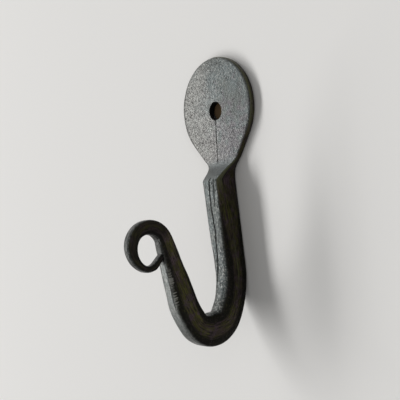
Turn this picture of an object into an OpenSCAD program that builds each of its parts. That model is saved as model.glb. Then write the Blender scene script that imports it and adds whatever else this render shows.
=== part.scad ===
// Penny-end wall hook: one forged bar, flattened to a round pad at the top, bent to a deep J
// and drawn down to a small closed scroll. Millimetres. The origin is the middle of the screw
// hole on the wall plane; X runs along the wall, -Y out of it, Z up.

/* [Pad] */

// Diameter of the round pad that lies on the wall
pad_d = 32; // [26:0.5:40]
// Thickness of the pad
pad_t = 2; // [1.5:0.1:3]
// Bevel that takes the edge off the front of the pad's rim
pad_bevel = 0.4; // [0.1:0.1:0.6]
// Diameter of the screw hole
hole_d = 5.5; // [4:0.1:8]
// How far the hole was punched below the middle of the pad
hole_drop = 0.8; // [0:0.1:3]
// How far the hole was punched to the right of the bar's middle
hole_side = 0.3; // [0:0.1:1]
// Slope of the straight shoulders that run from the pad down to the bar, degrees from upright
shoulder_slope = 38; // [34:1:44]
// Radius of the hollow where a shoulder meets the side of the bar
hollow_r = 6; // [2:0.5:9]

/* [Shank] */

// Width of the bar just below the pad
shank_w = 7; // [5:0.1:8]
// Depth of the bar, wall to front face
shank_d = 8.1; // [6:0.1:9]
// From the hole down to the start of the bend
shank_drop = 49.2; // [38:0.2:90]
// Height of the ramp from the pad's front face out to the bar's
ramp_h = 7.6; // [5:0.1:9]

/* [Bend] */

// Middle radius of the easy curve that leads away from the wall
lead_r = 26.2; // [20:0.2:34]
// Turn of that easy curve, degrees
lead_turn = 34; // [20:1:40]
// Middle radius of the bowl of the hook
bowl_r = 7.3; // [7:0.1:14]
// Turn of the bowl, degrees
bowl_turn = 115; // [105:1:120]
// Middle radius of the easy curve that leads into the arm
rise_r = 27; // [20:0.5:40]
// Lean of the arm away from upright, degrees
arm_lean = 12; // [5:1:20]
// Length of the straight tapering arm
arm_len = 17.6; // [10:0.2:34]
// How far the inside of the bowl is crowned, where the bend has gathered the iron
bowl_crown = 1.6; // [0:0.1:1.7]

/* [Taper] */

// Width of the bar where the bowl begins
bowl_w = 6.1; // [4.5:0.1:7]
// Depth of the bar through the bowl and the foot of the arm
bowl_d = 8; // [6:0.1:8.4]
// Width of the bar at the foot of the arm
arm_w = 5; // [4:0.1:6]
// Width of the bar where the scroll begins
scroll_w = 3.7; // [3:0.1:5]
// Thickness of the bar where the scroll begins
scroll_d = 4.8; // [3.6:0.1:5.4]
// Thickness of the bar at the end of the scroll's wide turn
roll_d = 3.3; // [2.8:0.1:4.4]
// Width of the bar at the tip
tip_w = 2.4; // [2:0.1:3.5]
// Thickness of the bar at the tip
tip_d = 1.8; // [1.6:0.1:2.3]
// Extra softening that the hammer leaves on the corners of the ramp
ramp_soft = 0.7; // [0:0.1:1]
// Softening of the bar's corners on the shank
shank_soft = 0.5; // [0.3:0.1:0.9]
// Softening of the front corners where the bar begins to bend
lead_soft = 1.3; // [0.5:0.1:1.6]
// Softening of the corners on the inside of the bowl
bowl_soft = 2; // [1:0.1:2.1]
// Softening of the bar's corners on the arm
arm_soft = 1.1; // [0.6:0.1:1.3]

/* [Scroll] */

// Middle radius of the scroll's wide turn
scroll_r = 5.7; // [5.6:0.1:7]
// Turn of the wide part, degrees
scroll_turn = 165; // [150:1:168]
// Middle radius of the flatter turn under the eye
roll_r = 6.3; // [5.8:0.1:7]
// Turn of that flatter part, degrees
roll_turn = 60; // [50:1:62]
// Middle radius of the last tight turn towards the arm
curl_r = 3.8; // [3.4:0.1:4.2]
// Turn of that last part, degrees
curl_turn = 77; // [62:1:78]
// Hairline left where the tip closes on the arm
tip_gap = 0.2; // [0.1:0.05:0.6]

/* [Hidden] */

iron = [0.27, 0.27, 0.26];

right_angle = 90;     // degrees
turn_step = 7.5;      // degrees of bend between two sections
pad_step = 5;         // degrees round the pad's rim between two sections
pad_start = 3;        // degrees from the very top of the pad to its first section
corner_steps = 2;     // facets round one corner of the bar
neck_steps = 12;      // sections down the shoulders and the ramp
crown_at = -15;       // heading of the bar where the bowl is crowned most, degrees
crown_turn = 75;      // turn either side of that in which the crown dies away
punch = 1;            // overrun of the hole beyond each face
fine = 96;            // facets round the hole in a preview

// Middle of the pad and of the bar, measured from the hole.
mid_x = -hole_side;
mid_z = hole_drop;

// A shoulder leaves the pad's edge where the two run the same way, and meets the bar's side.
leave_x = pad_d / 2 * cos(shoulder_slope);
leave_z = mid_z - pad_d / 2 * sin(shoulder_slope);
meet_z = leave_z - (leave_x - shank_w / 2) / tan(shoulder_slope);
hollow_reach = hollow_r * tan(shoulder_slope / 2);
neck_foot = meet_z - hollow_reach;
ramp_top = neck_foot + ramp_h;
rise_turn = 180 - arm_lean - lead_turn - bowl_turn;

// The tail of the scroll runs straight at the arm, and its end lies flat along the arm's
// tapering face, a hairline off it.
turn_a = scroll_turn;
turn_b = turn_a + roll_turn;
turn_c = turn_b + curl_turn;
curl_out = scroll_r * (1 - cos(turn_a)) + roll_r * (cos(turn_a) - cos(turn_b))
    + curl_r * (cos(turn_b) - cos(turn_c));
curl_along = scroll_r * sin(turn_a) + roll_r * (sin(turn_b) - sin(turn_a))
    + curl_r * (sin(turn_c) - sin(turn_b));
face_rate = (bowl_d - scroll_d) / arm_len / 2;
face_off = curl_out - scroll_d / 2 + curl_along * face_rate;
tail_len = max(tip_gap, (face_off - tip_gap) / (-sin(turn_c) - cos(turn_c) * face_rate));
face_turn = min(turn_c - 3 * right_angle + atan(face_rate), atan(1.6 * tail_len / tip_d));

// Each leg of the bar's middle line: length, turn (degrees, outward positive), sections.
function leg(r, turn) = [r * abs(turn) * PI / 180, turn, ceil(abs(turn) / turn_step)];
LEGS = [
    [shank_drop + neck_foot, 0, 2],
    leg(lead_r, lead_turn),
    leg(bowl_r, bowl_turn),
    leg(rise_r, rise_turn),
    [arm_len, 0, 4],
    leg(scroll_r, -scroll_turn),
    leg(roll_r, -roll_turn),
    leg(curl_r, -curl_turn),
    [tail_len, 0, 1]
];
bowl_leg = 2;

// Width, depth and the softening of the back and front corners at the end of each leg; the first
// row is the shank's top. "Front" is the shank's front, the bowl's inside and the scroll's outside.
scroll_len = LEGS[5][0] + LEGS[6][0] + LEGS[7][0] + LEGS[8][0];
function drawn(from, to, done) = from + (to - from) * done;
function scroll_w_at(len) = drawn(scroll_w, tip_w, len / scroll_len);
scroll_soft = drawn(arm_soft, tip_d * 0.3, 0.3);
roll_soft = roll_d * 0.25;
tip_soft = tip_d * 0.3;
SIZES = [
    [shank_w, shank_d, shank_soft, shank_soft],
    [drawn(shank_w, bowl_w, 0.6), shank_d, shank_soft, lead_soft],
    [bowl_w, bowl_d, drawn(shank_soft, arm_soft, 0.4), bowl_soft],
    [arm_w, bowl_d, arm_soft, drawn(arm_soft, bowl_soft, 0.2)],
    [drawn(arm_w, scroll_w, 0.3), bowl_d, arm_soft, arm_soft],
    [scroll_w, scroll_d, scroll_soft, scroll_soft],
    [scroll_w_at(LEGS[5][0]), roll_d, roll_soft, roll_soft],
    [scroll_w_at(LEGS[5][0] + LEGS[6][0]), tip_d, tip_soft, tip_soft],
    [scroll_w_at(scroll_len - LEGS[8][0]), tip_d, tip_soft, tip_soft],
    [tip_w, tip_d, tip_soft, tip_soft]
];

// One step along a leg: a place out from the wall, a height and a heading become the next.
function step_on(at, len, turn) =
    let (chord = turn == 0 ? len : len * sin(turn / 2) / (turn / 2 * PI / 180),
         go = at[2] + turn / 2)
    [at[0] + chord * cos(go), at[1] + chord * sin(go), at[2] + turn];

// How far the inside of the bowl is crowned at a heading: most at crown_at, none beyond its turn.
function crown_at_heading(h) =
    bowl_crown * pow(max(0, 1 - pow((h - crown_at) / crown_turn, 2)), 2);

// The bar's sections from a place onwards, leg by leg: place and heading, sizes, crown.
function section(at, i, done) =
    [at, drawn(SIZES[i], SIZES[i + 1], done), i > bowl_leg ? 0 : crown_at_heading(at[2])];
function along(at, i, k) =
    i >= len(LEGS) ? [] :
    let (n = LEGS[i][2], next = step_on(at, LEGS[i][0] / n, LEGS[i][1] / n))
    concat([section(next, i, (k + 1) / n)],
        k + 1 < n ? along(next, i, k + 1) : along(next, i + 1, 0));

// A closed ring of points: a rectangle w by d, square to the heading. Its back and front corners
// are softened by [through the bar, across the bar], and crown raises the front.
function ring(at, w, d, back, front, crown = 0) =
    [for (c = [0:3]) for (j = [0:corner_steps])
        let (a = right_angle * (c + j / corner_steps),
             sx = (c == 0 || c == 3) ? 1 : -1,
             soft = c < 2 ? back : front,
             x = sx * (w / 2 - soft[1]) + soft[1] * cos(a),
             n = (c < 2 ? d / 2 - soft[0] : soft[0] - d / 2 - crown) + soft[0] * sin(a),
             out = at[0] + n * sin(at[2]),
             up = at[1] - n * cos(at[2]))
        [x, -out, up]];

// The neck's sections, from the pad's edge down: the width follows the shoulder and its hollow,
// and the depth grows from the pad's to the full bar on an eased curve.
function eased(t) = let (c = min(1, max(0, t))) c * c * (3 - 2 * c);
function half_at(z) =
    z > meet_z + hollow_reach * cos(shoulder_slope)
    ? shank_w / 2 + (z - meet_z) * tan(shoulder_slope)
    : shank_w / 2 + hollow_r - sqrt(pow(hollow_r, 2) - pow(max(0, z - neck_foot), 2));
function neck_ring(z) =
    let (t = eased((ramp_top - z) / ramp_h), d = drawn(pad_t, shank_d, t),
         soft = drawn(pad_bevel, shank_soft, t) + ramp_soft * sin(180 * t))
    ring([d / 2, z, -right_angle], 2 * half_at(z), d, [soft, soft], [soft, soft]);

// The pad's sections, from its top down to where the shoulders leave: slices through a disc
// whose rim is softened all the way round, front and back.
flat_r = pad_d / 2 - pad_bevel;
function pad_ring(a) =
    let (h = pad_d / 2 * cos(a), half = pad_d / 2 * sin(a),
         flat = abs(h) < flat_r ? sqrt(pow(flat_r, 2) - pow(h, 2)) : 0,
         lean = max(0, abs(h) - flat_r),
         soft = [max(pad_bevel - lean, pad_bevel / 4), min(half - flat, half * 0.98)])
    ring([pad_t / 2, mid_z + h, -right_angle], 2 * half, pad_t - 2 * lean, soft, soft);
pad_end = right_angle + shoulder_slope;
pad_turns = ceil((pad_end - pad_start) / pad_step);

SECTIONS = along([shank_d / 2, neck_foot, -right_angle], 0, 0);
function bar_ring(s, turn) =
    ring(s[0] + [0, 0, turn], s[1][0], s[1][1] / cos(turn),
        [s[1][2], s[1][2]], [s[1][3], s[1][3]], s[2]);
RINGS = concat(
    [for (k = [0:pad_turns]) pad_ring(drawn(pad_start, pad_end, k / pad_turns))],
    [for (k = [1:neck_steps]) neck_ring(drawn(leave_z, neck_foot, k / neck_steps))],
    [for (k = [0:len(SECTIONS) - 1])
        bar_ring(SECTIONS[k], k == len(SECTIONS) - 1 ? face_turn : 0)]);

// Skin over a run of rings, with flat ends.
module skin(rings) {
    m = len(rings[0]);
    n = len(rings);
    sides = [for (i = [0:n - 2]) for (j = [0:m - 1])
        let (a = i * m + j, b = i * m + (j + 1) % m)
        each [[a, b, a + m], [b, b + m, a + m]]];
    ends = [[for (j = [m - 1:-1:0]) j], [for (j = [0:m - 1]) (n - 1) * m + j]];
    polyhedron([for (r = rings) each r], concat(sides, ends), convexity = 6);
}

// The whole hook, with the plain screw hole through the pad.
module hook() {
    color(iron) difference() {
        translate([mid_x, 0, 0]) skin(RINGS);
        rotate([90, 0, 0]) translate([0, 0, -punch])
            cylinder(h = pad_t + 2 * punch, d = hole_d, $fn = fine);
    }
}

hook();
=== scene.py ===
import bpy
import numpy as np
from mathutils import Matrix


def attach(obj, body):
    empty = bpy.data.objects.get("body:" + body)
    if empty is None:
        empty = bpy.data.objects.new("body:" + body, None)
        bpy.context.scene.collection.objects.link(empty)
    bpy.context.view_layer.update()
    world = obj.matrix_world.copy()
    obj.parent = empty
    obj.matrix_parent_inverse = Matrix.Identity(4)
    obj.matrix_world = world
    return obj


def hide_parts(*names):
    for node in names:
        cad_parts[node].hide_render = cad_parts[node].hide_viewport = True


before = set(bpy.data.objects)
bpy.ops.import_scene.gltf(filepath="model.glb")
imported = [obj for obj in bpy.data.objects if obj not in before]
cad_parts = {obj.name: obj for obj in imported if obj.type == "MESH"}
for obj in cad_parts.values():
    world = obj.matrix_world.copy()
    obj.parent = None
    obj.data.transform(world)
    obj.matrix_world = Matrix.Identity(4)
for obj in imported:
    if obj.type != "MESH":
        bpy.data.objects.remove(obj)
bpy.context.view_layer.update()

millimetre = 0.001

# The forged bar. Lengths are in millimetres and turns in degrees.
bar = {
    "padAcross": 32.0, "padThick": 2.0, "padBevel": 0.45,
    "holeAcross": 5.5, "holeDrop": 0.8, "holeSide": 0.3, "holeBreak": 0.16,
    "shoulderSlope": 38.0, "hollow": 6.0,       # the shoulders, and the radius at their feet
    "shankWide": 7.0, "shankDeep": 8.1, "shankDrop": 49.2,
    "rampHigh": 6.2, "rampEnd": 0.9, "rampCrisp": 0.5, "rampSoft": 0.3,
    "neckIn": 0.50, "neckAt": -18.0, "neckHalf": 3.2,   # how far the neck was drawn in
    "leadRadius": 26.2, "leadTurn": 34.0,       # the long easy bend out of the shank
    "bowlRadius": 7.3, "bowlTurn": 115.0,
    "riseRadius": 27.0, "armLean": 12.0, "armLong": 17.6,
    "bowlWide": 6.1, "bowlDeep": 8.0, "armWide": 5.0,
    "scrollWide": 3.7, "scrollDeep": 4.8, "tipWide": 2.4, "tipDeep": 1.8,
    "shankSoft": 0.45, "leadSoft": 1.3, "bowlSoft": 2.0, "armSoft": 0.85,   # corner radii
    "bowlCrown": 1.7, "crownAt": -6.0, "crownTurn": 84.0,
    "scrollRadius": 5.7, "scrollTurn": 165.0,
    "rollRadius": 6.3, "rollTurn": 60.0, "rollDeep": 3.3,
    "curlRadius": 3.8, "curlTurn": 77.0, "tipGap": 0.12,
    "scrollEase": 3.0,                          # length in which the scroll's own marks begin
}

# What the hammer left on it, in millimetres.
marks = {
    "proud": 0.10,                              # how far the skin starts above the true size
    "hammerDeep": 0.13, "hammerSize": 6.0,      # broad flats
    "dentDeep": 0.05, "dentSize": 1.9,          # small dents between them
    "edgeDeep": 0.16, "edgeSize": 4.5,          # how unevenly the corners are knocked back
    "tornDeep": 0.20, "tornSize": 0.8,          # the arm's torn corner, and where it begins
    "tornOut": 22.5, "tornFoot": -60.0, "tornTop": -42.0, "tornFade": 4.0,
    "foldDeep": 0.30, "foldHalf": 0.28,         # cold folds down the front of the shank
    "foldWander": 0.35, "foldWanderSize": 2.5, "foldFootFade": 3.0, "foldTopFade": 0.9,
    "wallNear": 0.05, "wallFade": 0.8,          # marks begin this far off the wall
}

# How finely it is drawn: rings down the pad, spacing of the rings below it in millimetres, points
# along each kind of flat and corner, facets round the punch, and the angle of a sharp edge.
detail = {
    "padSteps": 90, "neckStep": 0.28, "barStep": 0.32, "easeRings": 17,
    "flatPoints": 44, "sidePoints": 14, "cornerPoints": 7, "punchPoints": 128,
    "firstTurn": 1.2, "sharpTurn": 38.0,
}

# Two folds down the shank's front: heights, and how far each lies from the bar's middle.
folds = [
    ([-20.6, -21.7, -27.0, -32.0, -37.3, -43.5, -47.2, -49.7, -55.9, -60.0],
     [0.3, -0.1, -0.4, -0.4, 0.0, -0.4, -0.8, -1.1, -2.2, -2.6], 1.0),
    ([-20.9, -21.7, -24.5, -27.9, -31.0], [2.3, 2.0, 1.7, 1.5, 1.3], 0.55),
]


# Even noise from 0 to 1: a lattice of random heights that repeats every so many cells, blended
# smoothly between the eight corners of each cell.
def lumps(points, size, seed):
    cells, shift = 32, 1000.0                   # the shift keeps every cell's number positive
    table = np.random.default_rng(seed).random((cells, cells, cells))
    grid = points / size + shift
    cell = np.floor(grid).astype(int)
    part = grid - cell
    part = part * part * (3.0 - 2.0 * part)
    total = np.zeros(points.shape[:-1])
    for corner in range(8):
        step = np.array([corner & 1, corner >> 1 & 1, corner >> 2 & 1])
        share = np.prod(np.where(step == 1, part, 1.0 - part), axis=-1)
        at = (cell + step) % cells
        total += share * table[at[..., 0], at[..., 1], at[..., 2]]
    return total


# A smooth step from 0 to 1, with level ends.
def eased(t):
    t = np.clip(t, 0.0, 1.0)
    return t * t * (3.0 - 2.0 * t)


# The plan of one ring, before it is sized: flats and quarter-round corners in turn, as shares of
# the straight part across and through, and the corner's own cosine and sine.
def ringPlan():
    def flat(n):
        return np.linspace(0.0, 1.0, n, endpoint=False)

    nearCorner = 8                              # the power by which a flat's ends count as corner
    quarter = flat(detail["cornerPoints"]) * np.pi / 2
    sides, flats = detail["sidePoints"], detail["flatPoints"]
    runs = [(sides, 0), (flats, 1), (sides, 2), (flats, 3)]
    across, through, cosine, sine, corner = [], [], [], [], []
    for count, k in runs:
        along = flat(count) * 2.0 - 1.0
        turnX, turnN = [(1, 0), (0, 1), (-1, 0), (0, -1)][k]
        across.append(np.where(turnX != 0, turnX, -turnN * along))
        through.append(np.where(turnX != 0, turnX * along, turnN))
        cosine.append(np.full(count, float(turnX)))
        sine.append(np.full(count, float(turnN)))
        corner.append(np.abs(along) ** nearCorner)
        angle = quarter + k * np.pi / 2
        nextX, nextN = [(1, 1), (-1, 1), (-1, -1), (1, -1)][k]
        across.append(np.full(angle.size, float(nextX)))
        through.append(np.full(angle.size, float(nextN)))
        cosine.append(np.cos(angle))
        sine.append(np.sin(angle))
        corner.append(np.ones(angle.size))
    return [np.concatenate(part) for part in (across, through, cosine, sine, corner)]


# Rings from the top of the pad to the neck: slices of a round-rimmed disc, then a width that
# follows the straight shoulders and their hollows while the depth eases out to the full bar.
def padRings(b):
    radius, bevel, mid = b["padAcross"] / 2, b["padBevel"], b["holeDrop"]
    slope = np.radians(b["shoulderSlope"])
    turn = np.linspace(np.radians(detail["firstTurn"]), np.pi / 2 + slope, detail["padSteps"])
    high, half = radius * np.cos(turn), radius * np.sin(turn)
    flatHalf = np.sqrt(np.clip((radius - bevel) ** 2 - high ** 2, 0.0, None))
    crown = np.clip(np.abs(high) - (radius - bevel), 0.0, None)
    lean = bevel - np.sqrt(np.clip(bevel ** 2 - crown ** 2, 0.0, None))
    top = {
        "up": mid + high, "wide": 2 * half, "deep": b["padThick"] - 2 * lean,
        "soft": np.maximum(bevel - lean, 0.05), "across": np.minimum(half - flatHalf, half * 0.99),
    }
    leaveX, leaveZ = radius * np.cos(slope), mid - radius * np.sin(slope)
    meetZ = leaveZ - (leaveX - b["shankWide"] / 2) / np.tan(slope)
    reach = b["hollow"] * np.tan(slope / 2)
    foot = meetZ - reach
    up = np.linspace(leaveZ, foot, int((leaveZ - foot) / detail["neckStep"]))[1:]
    climb = np.clip((foot + b["rampEnd"] + b["rampHigh"] - up) / b["rampHigh"], 0.0, 1.0)
    t = eased(climb) + (climb ** 1.5 - eased(climb)) * b["rampCrisp"]
    straight = b["shankWide"] / 2 + (up - meetZ) * np.tan(slope)
    hollowed = b["shankWide"] / 2 + b["hollow"] - np.sqrt(
        b["hollow"] ** 2 - np.clip(up - foot, 0.0, b["hollow"]) ** 2)
    half = np.where(up > meetZ + reach * np.cos(slope), straight, hollowed)
    half -= b["neckIn"] * eased(1 - np.abs(up - b["neckAt"]) / b["neckHalf"])
    deep = b["padThick"] + (b["shankDeep"] - b["padThick"]) * t
    soft = bevel + (b["shankSoft"] - bevel) * t + b["rampSoft"] * np.sin(np.pi * t)
    top["frontSoft"], top["frontAcross"] = top["soft"], top["across"]
    neck = {"up": up, "wide": 2 * half, "deep": deep, "soft": soft, "across": soft,
            "frontSoft": soft, "frontAcross": soft}
    rings = {k: np.concatenate([top[k], neck[k]]) for k in top}
    rings["out"] = rings["deep"] / 2
    rings["crown"] = 0 * rings["up"]
    rings["heading"] = np.full(rings["up"].size, -np.pi / 2)
    rings["rolled"] = 0 * rings["up"]
    return rings, foot


# Rings down the bar: its middle line is straight and circular legs end to end, so the heading
# is a broken line in arc length and the place is its running sum. Sizes are eased between legs.
def barRings(b, startUp):
    turns = np.array([0, b["leadTurn"], b["bowlTurn"],
                      180 - b["armLean"] - b["leadTurn"] - b["bowlTurn"], 0,
                      -b["scrollTurn"], -b["rollTurn"], -b["curlTurn"], 0])
    radii = np.array([0, b["leadRadius"], b["bowlRadius"], b["riseRadius"], 0,
                      b["scrollRadius"], b["rollRadius"], b["curlRadius"], 0])
    lengths = np.radians(np.abs(turns)) * radii
    lengths[0] = b["shankDrop"] + startUp
    lengths[4] = b["armLong"]
    # the tail runs straight at the arm and stops a hair short of its face
    turned = np.radians(-np.cumsum(turns[4:]))
    curlOut = np.sum(radii[5:8] * (np.cos(turned[:3]) - np.cos(turned[1:4])))
    curlAlong = np.sum(radii[5:8] * (np.sin(turned[1:4]) - np.sin(turned[:3])))
    rate = (b["bowlDeep"] - b["scrollDeep"]) / b["armLong"] / 2
    off = curlOut - b["scrollDeep"] / 2 + curlAlong * rate
    lengths[8] = (off - b["tipGap"]) / (-np.sin(turned[3]) - np.cos(turned[3]) * rate)
    ends = np.concatenate([[0.0], np.cumsum(lengths)])
    headings = np.radians(-90 + np.concatenate([[0.0], np.cumsum(turns)]))
    s = np.linspace(0.0, ends[-1], int(ends[-1] / detail["barStep"]))
    heading = np.interp(s, ends, headings)
    step, turn = np.diff(s), np.diff(heading)
    chord = step * np.sinc(turn / 2 / np.pi)
    go = heading[:-1] + turn / 2
    out = b["shankDeep"] / 2 + np.concatenate([[0.0], np.cumsum(chord * np.cos(go))])
    up = startUp + np.concatenate([[0.0], np.cumsum(chord * np.sin(go))])
    done = (ends[5:] - ends[5]) / (ends[-1] - ends[5])
    shankEnd = b["shankWide"] + (b["bowlWide"] - b["shankWide"]) * 0.6
    riseEnd = b["armWide"] + (b["scrollWide"] - b["armWide"]) * 0.3
    wides = [b["shankWide"], shankEnd, b["bowlWide"], b["armWide"], riseEnd,
             *(b["scrollWide"] + (b["tipWide"] - b["scrollWide"]) * done)]
    deeps = [b["shankDeep"], b["shankDeep"], b["bowlDeep"], b["bowlDeep"], b["bowlDeep"],
             b["scrollDeep"], b["rollDeep"], b["tipDeep"], b["tipDeep"], b["tipDeep"]]
    bowlSoft = b["shankSoft"] + (b["armSoft"] - b["shankSoft"]) * 0.4
    softs = [b["shankSoft"], b["shankSoft"], bowlSoft, b["armSoft"], b["armSoft"],
             b["armSoft"] * 0.80, b["rollDeep"] * 0.20] + [b["tipDeep"] * 0.30] * 3
    frontSofts = [b["shankSoft"], b["leadSoft"], b["bowlSoft"], b["armSoft"] * 1.2] + softs[4:]
    offCrown = np.abs(np.degrees(heading) - b["crownAt"]) / b["crownTurn"]
    crown = b["bowlCrown"] * np.clip(1 - offCrown ** 2, 0.0, 1.0) ** 2 * (s < ends[4])
    near = detail["easeRings"]
    bell = np.hanning(near) / np.hanning(near).sum()

    def size(values):
        line = np.interp(s, ends, values)
        return np.convolve(np.pad(line, near // 2, mode="edge"), bell, mode="valid")

    # the tip's end is turned to lie flat along the arm's tapering face
    tail = ends[8] - b["tipDeep"] / 2
    face = turned[3] - np.pi * 1.5 + np.arctan(rate)
    face = face * eased((s - tail) / (ends[9] - tail))
    return {"up": up, "out": out, "heading": heading + face, "wide": size(wides),
            "deep": size(deeps), "soft": size(softs), "frontSoft": size(frontSofts),
            "crown": crown, "rolled": eased((s - ends[5]) / b["scrollEase"])}


# The bar's skin: every ring set square to the heading, the end rings closed by flat caps.
def barSurface(b):
    pad, startUp = padRings(b)
    below = barRings(b, startUp)
    below["across"], below["frontAcross"] = below["soft"], below["frontSoft"]
    r = {k: np.concatenate([pad[k], below[k][1:]])[:, None] for k in pad}
    across, through, cosine, sine, corner = ringPlan()
    # through = -1 is the shank's front and the inside of the bowl, with corners of its own
    wide = np.where(sine < 0, r["frontAcross"], r["across"])
    soft = np.where(sine < 0, r["frontSoft"], r["soft"])
    share = (1 + through) / 2
    x = across * (r["wide"] / 2 - wide) + wide * cosine
    n = (share * (r["deep"] / 2 - r["soft"]) + soft * sine
         - (1 - share) * (r["deep"] / 2 + r["crown"] - r["frontSoft"]))
    out = r["out"] + n * np.sin(r["heading"])
    up = r["up"] - n * np.cos(r["heading"])
    points = np.stack([x - b["holeSide"], -out, up], axis=-1)
    corner = np.broadcast_to(corner, x.shape)
    side = np.broadcast_to(np.abs(cosine), x.shape)
    through = np.broadcast_to(through, x.shape)
    return points, corner, side, through, r


# Outward normals of a closed-round grid, from the cross product of its two central differences.
def gridNormals(points):
    roundIt = np.roll(points, -1, axis=1) - np.roll(points, 1, axis=1)
    along = np.gradient(points, axis=0)
    normal = np.cross(along, roundIt)
    return normal / np.maximum(np.linalg.norm(normal, axis=-1, keepdims=True), 1e-12)


# How near a point of the shank's front lies to a fold, from 0 to 1: the distance from the fold's
# wandering line over its half width, faded at the fold's two ends.
def foldShare(b, m, points):
    share = np.zeros(points.shape[:-1])
    wander = (lumps(points, m["foldWanderSize"], 31) - 0.5) * m["foldWander"]
    for heights, offsets, depth in folds:
        line = np.interp(points[..., 2], heights[::-1], offsets[::-1]) - b["holeSide"]
        near = 1.0 - eased(np.abs(points[..., 0] - line - wander) / m["foldHalf"])
        inside = (eased((points[..., 2] - min(heights)) / m["foldFootFade"])
                  * eased((max(heights) - points[..., 2]) / m["foldTopFade"]))
        share = np.maximum(share, near * inside * depth)
    return share


# Hammer marks: broad and small dents, uneven corners and the folds, all sunk into the iron along
# the normals. Nothing is sunk on the wall, and the thin pad and scroll take less than the bar.
def hammered(b, m, points, corner, rings):
    x, out, up = points[..., 0], -points[..., 1], points[..., 2]
    normal = gridNormals(points)
    offWall = eased((out - m["wallNear"]) / m["wallFade"])
    full = eased((rings["deep"] - 1.0) / 4.0)
    broad = lumps(points, m["hammerSize"], 11) * 0.7 + lumps(points, m["hammerSize"] / 2, 12) * 0.3
    small = lumps(points, m["dentSize"], 13) * 0.6 + lumps(points, m["dentSize"] / 2.4, 14) * 0.4
    uneven = np.clip(lumps(points, m["edgeSize"], 15) * 1.6 - 0.35, 0.0, 1.0)
    sunk = m["hammerDeep"] * broad * (0.45 + 0.55 * full) + m["dentDeep"] * small
    sunk += m["edgeDeep"] * uneven * corner * (0.25 + 0.75 * full)
    # the torn corner: the arm's outer right one, from the bowl to below the scroll
    onArm = (eased((out - m["tornOut"]) / 1.5) * eased((up - m["tornFoot"]) / m["tornFade"])
             * eased((m["tornTop"] - up) / m["tornFade"]))
    bites = np.clip(lumps(points, m["tornSize"], 16) * 1.8 - 0.5, 0.0, 1.0)
    sunk += m["tornDeep"] * onArm * (x > -b["holeSide"]) * corner * bites
    front = (normal[..., 1] < -0.25) & (out < 15.0) & (up < -17.0)
    fold = np.where(front, foldShare(b, m, points), 0.0)
    sunk = (sunk - m["proud"]) * offWall + m["foldDeep"] * fold
    return points - normal * sunk[..., None], fold


# One mesh from a grid that closes round, with an n-sided cap at each end.
def gridMesh(name, points):
    rows, columns = points.shape[:2]
    i, j = np.meshgrid(np.arange(rows - 1), np.arange(columns), indexing="ij")
    a, b = i * columns + j, i * columns + (j + 1) % columns
    quads = np.stack([a, b, b + columns, a + columns], axis=-1).reshape(-1, 4)
    first = np.arange(columns)[::-1]
    last = (rows - 1) * columns + np.arange(columns)
    loops = np.concatenate([quads.ravel(), first, last])
    sizes = np.concatenate([np.full(len(quads), 4), [columns, columns]])
    starts = np.concatenate([[0], np.cumsum(sizes)[:-1]])
    mesh = bpy.data.meshes.new(name)
    mesh.vertices.add(rows * columns)
    mesh.vertices.foreach_set("co", (points * millimetre).ravel())
    mesh.loops.add(len(loops))
    mesh.loops.foreach_set("vertex_index", loops)
    mesh.polygons.add(len(sizes))
    mesh.polygons.foreach_set("loop_start", starts)
    mesh.polygons.foreach_set("use_smooth", np.ones(len(sizes), bool))
    mesh.update(calc_edges=True)
    mesh.validate()
    return mesh


# The punch: a turned shape, its radius a function of depth, with the hole's edges just broken.
def punchMesh(b):
    radius, thick, ease = b["holeAcross"] / 2, b["padThick"], b["holeBreak"]
    depth = np.array([-1.0, -0.02, ease * 0.6, thick - ease * 1.6, thick - ease * 0.9,
                      thick - 0.02, thick + 1.0])
    wide = radius + np.array([ease * 0.5, ease * 0.5, 0.0, 0.0, ease * 0.25, ease, ease * 2.5])
    turn = np.linspace(0.0, 2 * np.pi, detail["punchPoints"], endpoint=False)
    x = wide[:, None] * np.cos(turn)
    z = wide[:, None] * np.sin(turn)
    y = np.broadcast_to(-depth[:, None], x.shape)
    return gridMesh("punch", np.stack([x, y, z], axis=-1))


# A named number on every vertex.
def mark(mesh, name, values):
    layer = mesh.attributes.new(name, "FLOAT", "POINT")
    layer.data.foreach_set("value", np.asarray(values, np.float32).ravel())


# A socket that takes part in arithmetic: each operator adds one Math node.
class Wire:
    def __init__(self, finish, socket):
        self.finish, self.socket = finish, socket

    def maths(self, kind, *values):
        return self.finish.node("ShaderNodeMath", {"operation": kind}, dict(enumerate(values)))

    # another output of the same node
    def beside(self, name):
        return Wire(self.finish, self.socket.node.outputs[name])

    def __add__(self, other):
        return self.maths("ADD", self, other)

    def __radd__(self, other):
        return self.maths("ADD", other, self)

    def __sub__(self, other):
        return self.maths("SUBTRACT", self, other)

    def __rsub__(self, other):
        return self.maths("SUBTRACT", other, self)

    def __mul__(self, other):
        return self.maths("MULTIPLY", self, other)

    def __rmul__(self, other):
        return self.maths("MULTIPLY", other, self)

    def __truediv__(self, other):
        return self.maths("DIVIDE", self, other)

    def __pow__(self, other):
        return self.maths("POWER", self, other)

    def __abs__(self):
        return self.maths("ABSOLUTE", self)


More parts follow.
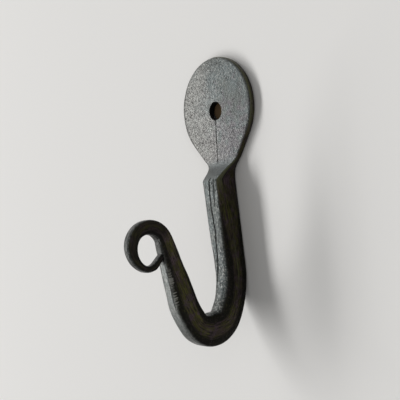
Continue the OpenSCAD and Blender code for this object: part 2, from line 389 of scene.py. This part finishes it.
# The node tree of a material or of the world, and the one method that adds a node to it.
class Finish:
    def __init__(self, owner):
        owner.use_nodes = True
        self.owner, self.tree = owner, owner.node_tree
        self.tree.nodes.clear()

    def node(self, kind, settings=None, values=None, out=0):
        made = self.tree.nodes.new(kind)
        for name, setting in (settings or {}).items():
            setattr(made, name, setting)
        for name, value in (values or {}).items():
            if isinstance(value, Wire):
                self.tree.links.new(value.socket, made.inputs[name])
            else:
                made.inputs[name].default_value = value
        return Wire(self, made.outputs[out]) if made.outputs else made

    def noise(self, place, scale, octaves=3.0, rough=0.55):
        return self.node("ShaderNodeTexNoise", {}, {
            "Vector": place, "Scale": scale, "Detail": octaves, "Roughness": rough})

    def fade(self, value, low, high):
        return self.node("ShaderNodeMapRange", {"interpolation_type": "SMOOTHSTEP"}, {
            "Value": value, "From Min": low, "From Max": high})

    def blend(self, share, first, second):
        return self.node("ShaderNodeMix", {"data_type": "RGBA"}, {
            0: share, 6: first, 7: second}, 2)


# The iron's colours, its gloss, and the sizes and depths of its marks in millimetres.
iron = {
    "bright": (0.045, 0.052, 0.052, 1), "dull": (0.040, 0.044, 0.042, 1),
    "rubbedAndSheen": (0.150, 0.149, 0.141, 1), "pitAndShade": (0.006, 0.005, 0.005, 1),
    "brown": (0.044, 0.034, 0.028, 1), "olive": (0.062, 0.061, 0.019, 1),
    "violet": (0.074, 0.050, 0.067, 1), "sootAndShade": (0.007, 0.007, 0.006, 1),
    "facet": (0.075, 0.080, 0.046, 1), "burr": (0.21, 0.21, 0.195, 1),
    "mauve": (0.063, 0.058, 0.062, 1),
    "metallic": 0.85, "specular": 0.10, "gloss": 0.36, "glossSpread": 0.14,
    "grainSize": 0.56, "grainDeep": 0.23, "coarseSize": 1.5, "coarseDeep": 0.16,
    "patchSize": 2.6, "broadSize": 7.0,
    "pitSize": 0.8, "pitDeep": 0.05, "drawnDeep": 0.04,
    "seamHalf": 0.13, "seamDeep": 0.10, "seamWander": 0.35, "seamWanderSize": 1.6,
    "seamSide": 0.47, "seamTop": 2.9, "seamLean": 0.112,
    "boreOut": 2.95, "boreFade": 0.1, "smoothAt": (9.0, 1.5), "squeeze": (22.0, 0.06, 1.0),
    "streakLong": 9.0, "streakWide": 0.5,       # the sides' streaks, along the bar and round it
}

# Where each zone fades in or out, in millimetres: heights are z, and "out" is the way off the wall.
zones = {
    "padFoot": (-17.5, -14.0), "padFrontOut": (1.2, 1.6), "padRim": (-11.0, -4.0),
    "rampFoot": (-24.0, -20.0), "neckFoot": (-27.0, -20.0), "neckTop": (-17.0, -15.0),
    "seamFoot": (-17.8, -15.0), "seamTop": (2.4, 3.0),
    "bendDown": (36.0, 48.0), "lowerDown": (24.0, 48.0), "armOut": (17.0, 24.0),
    "outerOut": (11.0, 18.0), "outerDown": (24.0, 30.0), "closedUp": (-45.5, -43.0),
    "highlightFoot": (-59.0, -53.0), "highlightDown": (36.0, 42.0),
    "teethFoot": (-54.5, -52.0), "teethDown": (44.0, 47.0),
    "burrFoot": (-57.5, -55.5), "burrDown": (44.0, 49.0), "rightHalf": (-0.5, 0.5),
    "smoothReach": (3.5, 8.5), "scaleAndSheenLeft": (-6.0, 15.0),
}


# Blackened iron: a dark bluish skin on the flats that the hammer and hands have worn, with painted
# sheen, light and glints on them, browner and olive streaks drawn along the sides, painted shade in
# bands beside the corners and round the scroll, fine scale grain, pits, the dark seam below the
# hole, dark folds and painted shade in the bore.
def blackenedIron(look):
    f = Finish(bpy.data.materials.new("blackenedIron"))
    place = f.node("ShaderNodeTexCoord", out="Object")
    sideways = f.node("ShaderNodeSeparateXYZ", {}, {"Vector": place})
    x = sideways / millimetre
    out = sideways.beside("Y") / millimetre * -1
    z = sideways.beside("Z") / millimetre
    down = z * -1

    def carried(name):
        return f.node("ShaderNodeAttribute", {"attribute_name": name}, out="Fac")

    def length(first, second):
        return (first * first + second * second) ** 0.5

    def size(mm):
        return 1 / (mm * millimetre)

    names = ("corner", "fold", "side", "through", "rolled")
    corner, fold, side, through, rolled = (carried(name) for name in names)
    along = f.node("ShaderNodeUVMap", {"uv_map": "bar"})
    grain = f.noise(place, size(look["grainSize"]), 2.0)
    coarse = f.noise(place, size(look["coarseSize"]), 3.0, 0.6)
    broad = f.noise(place, size(look["broadSize"]), 4.0, 0.6)
    patch = f.noise(place, size(look["patchSize"]), 4.0, 0.65)
    cells = f.node("ShaderNodeTexVoronoi", {"feature": "F1"}, {
        "Vector": place, "Scale": size(look["pitSize"])})
    pits = (1 - f.fade(cells, 0.10, 0.45)) * f.fade(patch, 0.46, 0.60)
    streaks = f.noise(along, 1.0, 3.0, 0.6)
    threads = f.noise(along, 2.7, 2.0, 0.6)
    onPad = f.fade(z, *zones["padFoot"])
    arm = f.fade(out, *zones["armOut"])
    rightHalf = f.fade(x, *zones["rightHalf"])

    # where the scale is rough: most on the pad's left, least on its right and on the ramp; the same
    # left part takes painted sheen
    ragged = (broad - 0.5) * 18.0 + (patch - 0.5) * 6.0
    scaleAndSheen = f.fade(x * -1 + ragged - z * 0.15, *zones["scaleAndSheenLeft"]) * onPad
    smoothX, smoothZ = look["smoothAt"]
    fromSmooth = length(x - smoothX, z - smoothZ) + (patch - 0.5) * 4.0
    smooth = 1 - f.fade(fromSmooth, *zones["smoothReach"])
    ramp = (1 - onPad) * f.fade(z, *zones["rampFoot"])
    bend = f.fade(down, *zones["bendDown"]) * (1 - arm)
    rough = 0.50 + scaleAndSheen * 0.62 - onPad * 0.14 - smooth * 0.20 - ramp * 0.35 + bend * 0.35

    # the seam below the hole: a straight line that leans a little, on the pad's front only
    line = x + look["seamSide"] - (z + look["seamTop"]) * look["seamLean"]
    wander = (f.noise(place, size(look["seamWanderSize"]), 2.0) - 0.5) * look["seamWander"]
    seam = 1 - f.fade(abs(line + wander), look["seamHalf"] * 0.4, look["seamHalf"] * 1.6)
    seam = seam * f.fade(z, *zones["seamFoot"]) * f.fade(down, *zones["seamTop"])
    seam = seam * f.fade(out, *zones["padFrontOut"])
    # painted shade in the bore: the hole's wall and broken edge are darkened
    bore = 1 - f.fade(length(x, z), look["boreOut"] - look["boreFade"],
                      look["boreOut"] + look["boreFade"])

    # the flats: blue-grey skin, mauve in patches on the pad, painted light where they face
    # outwards, and painted sheen on the pad's rough left
    skin = f.blend(f.fade(broad, 0.40, 0.62), look["bright"], look["dull"])
    skin = f.blend(f.fade(patch - z * 0.01, 0.45, 0.64) * onPad * 0.7, skin, look["mauve"])
    outer = (f.fade(through * (1 - rolled * 2), -0.2, 0.2)
             * f.fade(out, *zones["outerOut"]) * f.fade(down, *zones["outerDown"]))
    # painted sheen on the pad's rough left, and painted light on the bar's outer face
    skin = f.blend(scaleAndSheen * 0.76 + outer * (0.24 - rolled * 0.22), skin, look["rubbedAndSheen"])
    # bright grain specks where the scale is rough: partly wear, partly painted glints
    skin = f.blend(f.fade(grain, 0.49, 0.65) * rough * 0.80, skin, look["rubbedAndSheen"])
    skin = f.blend((1 - f.fade(grain, 0.34, 0.50)) * rough * 0.62, skin, look["pitAndShade"])
    # painted shade inside the scroll and on the arm's face that it closes on, and the scroll's
    # outer face darker
    inner = f.fade(through, -0.2, 0.2) * rolled
    closed = outer * (1 - rolled) * f.fade(z, *zones["closedUp"])
    skin = f.blend(inner * 0.85 + outer * rolled * 0.62 + closed * 0.72, skin, look["sootAndShade"])

    # the sides: brown, olive and violet, with dark threads drawn along the bar
    flank = f.blend(f.fade(streaks + (broad - 0.5) * 0.6, 0.44, 0.60), look["brown"], look["olive"])
    flank = f.blend(f.fade(patch, 0.48, 0.62) * 0.65, flank, look["violet"])
    flank = f.blend(f.fade(threads, 0.48, 0.60) * 0.85, flank, look["sootAndShade"])
    # painted shade in dark bands: broad beside the wall and under the bowl, narrower inside the
    # bend
    stray = (streaks - 0.5) * 0.9 + (grain - 0.5) * 0.25
    lower = f.fade(down, *zones["lowerDown"])
    behind = f.fade(through + stray, 0.85 - lower * 0.55, 1.05 - lower * 0.40)
    inside = f.fade(through * -1 + stray, 1.0 - lower * 0.60 + arm * 0.35,
                    1.15 - lower * 0.45 + arm * 0.35)
    band = behind.maths("MAXIMUM", behind, inside)
    flank = f.blend(band * (0.94 - f.fade(grain, 0.52, 0.68) * 0.30), flank, look["sootAndShade"])
    flank = f.blend(rolled * 0.65, flank, look["sootAndShade"])
    # painted highlight: a long thin pale line down the middle of the shank's lower half
    highlightLine = f.fade(z, *zones["highlightFoot"]) * f.fade(down, *zones["highlightDown"]) * (1 - arm)
    highlightLine = highlightLine * (1 - f.fade(abs(through + 0.02 + (patch - 0.5) * 0.2), 0.03, 0.10))
    flank = f.blend(highlightLine * 0.6, flank, look["facet"])
    # below the pad the corner beside the front is bare and greenish, down to a dark line
    neck = f.fade(z, *zones["neckFoot"]) * (1 - f.fade(z, *zones["neckTop"]))
    facet = neck * (1 - f.fade(through, -0.50, -0.40))
    flank = f.blend(facet * 0.8, flank, look["facet"])
    rim = f.fade(z, *zones["padRim"]) * (1 - f.fade(through, -0.1, 0.4))
    flank = f.blend(rim * 0.6, flank, look["facet"])
    crease = neck * (1 - f.fade(abs(through + 0.42), 0.03, 0.12))
    flank = f.blend(crease * 0.9, flank, look["sootAndShade"])

    # the corners: where flat turns to side, worn bright below the pad, with painted shade round it
    turnOver = side + (coarse - 0.5) * 0.5 * arm - arm * 0.15
    skin = f.blend(f.fade(turnOver, 0.45, 0.85), skin, flank)
    worn = f.fade(corner, 0.45, 1.0) * f.fade(grain, 0.50, 0.66) * (1 - f.fade(side, 0.3, 0.6))
    skin = f.blend(worn * 0.35 * (1 - onPad), skin, look["rubbedAndSheen"])
    # painted shade: dark corners round the pad's front
    skin = f.blend(f.fade(corner, 0.6, 1.0) * onPad * (1 - side) * 0.6, skin, look["sootAndShade"])
    skin = f.blend(pits * 0.45, skin, look["pitAndShade"])
    # where the hammer caught the arm's outer corner, it is torn into dark teeth
    teeth = f.fade(z, *zones["teethFoot"]) * f.fade(down, *zones["teethDown"]) * outer
    teeth = teeth * (1 - rolled) * rightHalf
    teeth = teeth * f.fade(corner * 0.7 + (coarse - 0.5) * 2.4, 0.42, 0.55)
    # dark marks of the iron: seam, folds and torn teeth, with painted shade in the bore
    dark = f.fade(seam + f.fade(fold, 0.25, 0.8) + bore + teeth * 0.5, 0.1, 0.9)
    skin = f.blend(dark * 0.94, skin, look["pitAndShade"])
    # and it has thrown thin bright burrs over onto the side: noise squeezed along the bar
    squeezed = f.node("ShaderNodeVectorMath", {"operation": "MULTIPLY"}, {
        0: along, 1: look["squeeze"]})
    fingers = f.fade(f.noise(squeezed, 1.0, 1.0), 0.42, 0.66)
    burr = f.fade(z, *zones["burrFoot"]) * f.fade(down, *zones["burrDown"]) * arm * rightHalf
    burr = burr * f.fade(side, 0.05, 0.5) * f.fade(through + fingers * 0.22, 0.98, 1.14)
    skin = f.blend(burr * 0.65, skin, look["burr"])

    gloss = (look["gloss"] + (patch - 0.5) * look["glossSpread"] + pits * 0.2 + dark * 0.3
             + scaleAndSheen * 0.04)
    height = (grain * rough * look["grainDeep"] + coarse * rough * look["coarseDeep"]
              + streaks * look["drawnDeep"] - pits * look["pitDeep"] - seam * look["seamDeep"])
    bump = f.node("ShaderNodeBump", {}, {
        "Strength": 1.0, "Distance": millimetre, "Height": height})
    shader = f.node("ShaderNodeBsdfPrincipled", {}, {
        "Base Color": skin, "Roughness": gloss, "Metallic": look["metallic"],
        "Specular IOR Level": look["specular"], "Normal": bump})
    f.node("ShaderNodeOutputMaterial", {}, {"Surface": shader})
    return f.owner


# Distance along the rings' middles and round each ring, as shares of one streak.
def streakMap(look, points):
    middles = points.mean(axis=1)
    length = np.concatenate([[0.0], np.cumsum(np.linalg.norm(np.diff(middles, axis=0), axis=-1))])
    girth = np.concatenate([np.zeros((len(points), 1)), np.cumsum(np.linalg.norm(
        np.diff(points, axis=1), axis=-1), axis=1)], axis=1)
    length = np.broadcast_to(length[:, None], girth.shape)
    return np.stack([length / look["streakLong"], girth / look["streakWide"]], axis=-1)


# The hook itself: the hammered skin, punched through, with its marks carried on the vertices.
def makeHook(b, m, look):
    points, corner, side, through, rings = barSurface(b)
    print("hook: grid of", points.shape[:2])
    shaped, fold = hammered(b, m, points, corner, rings)
    mesh = gridMesh("hook_forged", shaped)
    mark(mesh, "corner", corner)
    mark(mesh, "fold", fold)
    mark(mesh, "side", side)
    mark(mesh, "through", through)
    mark(mesh, "rolled", np.broadcast_to(rings["rolled"], side.shape))
    index = np.zeros(len(mesh.loops), np.int32)
    mesh.loops.foreach_get("vertex_index", index)
    uv = streakMap(look, points).reshape(-1, 2)[index]
    mesh.uv_layers.new(name="bar").data.foreach_set("uv", uv.astype(np.float32).ravel())
    hook = bpy.data.objects.new("hook_forged", mesh)
    bpy.context.scene.collection.objects.link(hook)
    punch = bpy.data.objects.new("punch", punchMesh(b))
    bpy.context.scene.collection.objects.link(punch)
    cut = hook.modifiers.new("hole", "BOOLEAN")
    cut.operation, cut.solver, cut.object = "DIFFERENCE", "EXACT", punch
    bpy.context.view_layer.update()
    cutMesh = bpy.data.meshes.new_from_object(
        hook.evaluated_get(bpy.context.evaluated_depsgraph_get()))
    hook.modifiers.clear()
    hook.data = cutMesh
    bpy.data.objects.remove(punch)
    cutMesh.set_sharp_from_angle(angle=np.radians(detail["sharpTurn"]))
    cutMesh.materials.clear()
    cutMesh.materials.append(blackenedIron(look))
    print("hook: punched,", len(cutMesh.polygons), "faces", list(cutMesh.attributes.keys()))
    return hook


# The wall it hangs on, in metres: seen only from its front, with a spot of painted shade behind
# the hole. It takes the hook's shadow, and it neither stops light nor throws any back.
def makeWall():
    wall = {"half": 0.9, "behind": 0.0003, "colour": (0.80, 0.79, 0.77, 1),
            "holeShade": (0.18, 0.12, 0.065, 1), "holeShadeOut": 0.0036, "holeShadeEnd": 0.0040}
    h, y = wall["half"], wall["behind"]
    mesh = bpy.data.meshes.new("wall")
    mesh.from_pydata([(-h, y, -h), (h, y, -h), (h, y, h), (-h, y, h)], [], [(0, 1, 2, 3)])
    f = Finish(bpy.data.materials.new("paleWall"))
    fromBehind = f.node("ShaderNodeNewGeometry", out="Backfacing")
    place = f.node("ShaderNodeTexCoord", out="Object")
    away = f.node("ShaderNodeVectorMath", {"operation": "LENGTH"}, {0: place}, "Value")
    # a dark brown spot of painted shade behind the pad's hole
    tone = f.blend(f.fade(away, wall["holeShadeOut"], wall["holeShadeEnd"]),
                   wall["holeShade"], wall["colour"])
    paint = f.node("ShaderNodeBsdfDiffuse", {}, {"Color": tone})
    clear = f.node("ShaderNodeBsdfTransparent")
    both = f.node("ShaderNodeMixShader", {}, {0: fromBehind, 1: paint, 2: clear})
    f.node("ShaderNodeOutputMaterial", {}, {"Surface": both})
    mesh.materials.append(f.owner)
    made = bpy.data.objects.new("wall", mesh)
    made.visible_shadow = made.visible_diffuse = made.visible_transmission = False
    bpy.context.scene.collection.objects.link(made)
    return made


# Places an object by its own right, up and back directions, and puts it in the scene.
def placed(made, at, right, up, back):
    turned = np.eye(4)
    turned[:3, 0], turned[:3, 1], turned[:3, 2], turned[:3, 3] = right, up, back, at
    made.matrix_world = Matrix(turned.tolist())
    bpy.context.scene.collection.objects.link(made)


# Lamps: a tall key from the left front, and weak ones from the right, above and behind. Places
# and sizes are in metres.
lamps = [
    {"name": "key", "at": (-2.90, -2.18, 0.00), "size": 0.68, "high": 5.30, "watts": 140.0},
    {"name": "fill", "at": (1.50, -1.10, 0.70), "size": 1.2, "high": 1.2, "watts": 2.8},
    {"name": "top", "at": (-2.00, -0.625, 2.147), "size": 1.6, "high": 1.6, "watts": 25.6},
    {"name": "back", "at": (-0.90, 1.50, 0.70), "size": 1.2, "high": 1.2, "watts": 8.0},
]
room = {"aim": (0.0, -0.015, -0.027), "ambient": (0.30, 0.30, 0.30, 1),
        "backdrop": (0.78, 0.77, 0.75, 1)}


def makeLights():
    for lamp in lamps:
        light = bpy.data.lights.new(lamp["name"], "AREA")
        light.shape, light.energy = "RECTANGLE", lamp["watts"]
        light.size, light.size_y = lamp["size"], lamp["high"]
        back = np.array(lamp["at"]) - room["aim"]
        back = back / np.linalg.norm(back)
        right = np.cross([0.0, 0.0, 1.0], back)
        right = right / np.linalg.norm(right)
        made = bpy.data.objects.new(lamp["name"], light)
        placed(made, lamp["at"], right, np.cross(back, right), back)


# The room: an even light on the hook, and the backdrop's own colour where it is looked at,
# mirrored or seen through something.
def makeRoom():
    world = bpy.data.worlds.new("room")
    bpy.context.scene.world = world
    f = Finish(world)
    rays = f.node("ShaderNodeLightPath", out="Is Camera Ray")
    shown = rays.maths("MAXIMUM", rays, rays.beside("Is Glossy Ray"))
    shown = shown.maths("MAXIMUM", shown, rays.beside("Is Transmission Ray"))
    colour = f.blend(shown, room["ambient"], room["backdrop"])
    sky = f.node("ShaderNodeBackground", {}, {"Color": colour})
    f.node("ShaderNodeOutputWorld", {}, {"Surface": sky})


# The camera looks from the right and a little below, close to the hook. Its place is in metres,
# and its lens and sensor are in millimetres.
def makeCamera():
    camera = {"at": (0.1309, -0.1205, -0.0316), "lens": 50.4, "sensor": 36.0, "nearest": 0.005,
              "right": (0.62769, 0.76818, -0.12615), "up": (0.09881, 0.08211, 0.99171),
              "back": (0.77216, -0.63495, -0.02436)}
    data = bpy.data.cameras.new("camera")
    data.lens, data.sensor_width = camera["lens"], camera["sensor"]
    data.clip_start = camera["nearest"]
    made = bpy.data.objects.new("camera", data)
    placed(made, camera["at"], camera["right"], camera["up"], camera["back"])
    bpy.context.scene.camera = made


makeCamera()
hook = makeHook(bar, marks, iron)
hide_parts("hook")
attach(hook, "root")
makeWall()
makeLights()
makeRoom()
bpy.context.scene.view_settings.view_transform = "Standard"
print("wall, lamps, room and camera are set")
